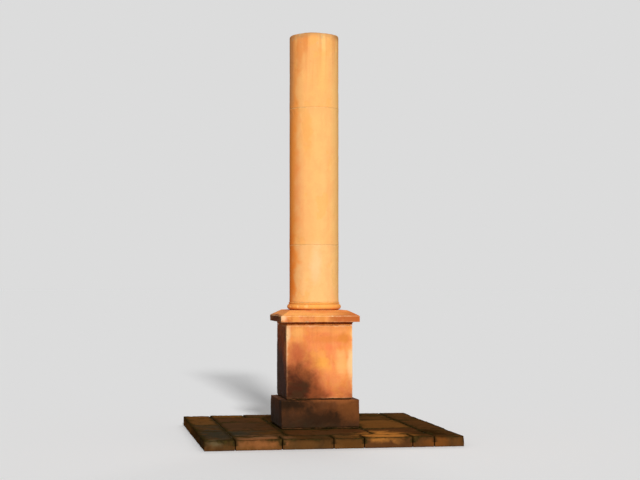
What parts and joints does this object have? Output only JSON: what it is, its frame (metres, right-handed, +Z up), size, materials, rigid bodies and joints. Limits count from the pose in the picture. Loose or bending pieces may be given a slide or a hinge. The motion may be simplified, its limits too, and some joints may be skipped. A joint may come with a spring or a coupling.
{
  "type": "round stone memorial column on a pedestal",
  "caption": "Plain round sandstone memorial column without a capital, on a square pedestal with a sloping cap, standing on a low square platform of kerb stones and slabs.",
  "frame": {"origin": "centre of the platform's underside, at ground level", "axes": "+X to the right as seen from the front, +Y away from the front, +Z up along the column"},
  "size_m": [2.6, 2.6, 4.296],
  "materials": {
    "shaft_sandstone": "fine dressed orange sandstone, weathered",
    "pedestal_sandstone": "fine dressed red sandstone, stained dark and mossy near the foot",
    "platform_stone": "weathered grey-brown slabs with lichen and dirt",
    "joint_mortar": "dark recessed joint mortar with dirt",
    "bed_mortar": "lime mortar, recessed"
  },
  "bodies": {
    "root": {"kerb_front_1": "platform_stone", "kerb_front_2": "platform_stone", "kerb_front_3": "platform_stone", "kerb_front_4": "platform_stone", "kerb_front_5": "platform_stone", "kerb_back_1": "platform_stone", "kerb_back_2": "platform_stone", "kerb_back_3": "platform_stone", "kerb_back_4": "platform_stone", "kerb_back_5": "platform_stone", "kerb_left_1": "platform_stone", "kerb_left_2": "platform_stone", "kerb_left_3": "platform_stone", "kerb_right_1": "platform_stone", "kerb_right_2": "platform_stone", "kerb_right_3": "platform_stone", "slab_front_left": "platform_stone", "slab_front_middle": "platform_stone", "slab_front_right": "platform_stone", "slab_middle_left": "platform_stone", "slab_middle_right": "platform_stone", "slab_back_left": "platform_stone", "slab_back_middle": "platform_stone", "slab_back_right": "platform_stone", "bearing_slab": "platform_stone", "platform_joints": "joint_mortar", "plinth_bed": "bed_mortar", "die_bed": "bed_mortar", "cap_bed": "bed_mortar", "ring_bed": "bed_mortar", "shaft_bed": "bed_mortar", "lower_drum_bed": "bed_mortar", "upper_drum_bed": "bed_mortar", "plinth_block": "pedestal_sandstone", "die_block": "pedestal_sandstone", "cap_stone": "pedestal_sandstone", "base_ring": "shaft_sandstone", "shaft_lower_drum": "shaft_sandstone", "shaft_middle_drum": "shaft_sandstone", "shaft_upper_drum": "shaft_sandstone"}
  },
  "joints": []
}
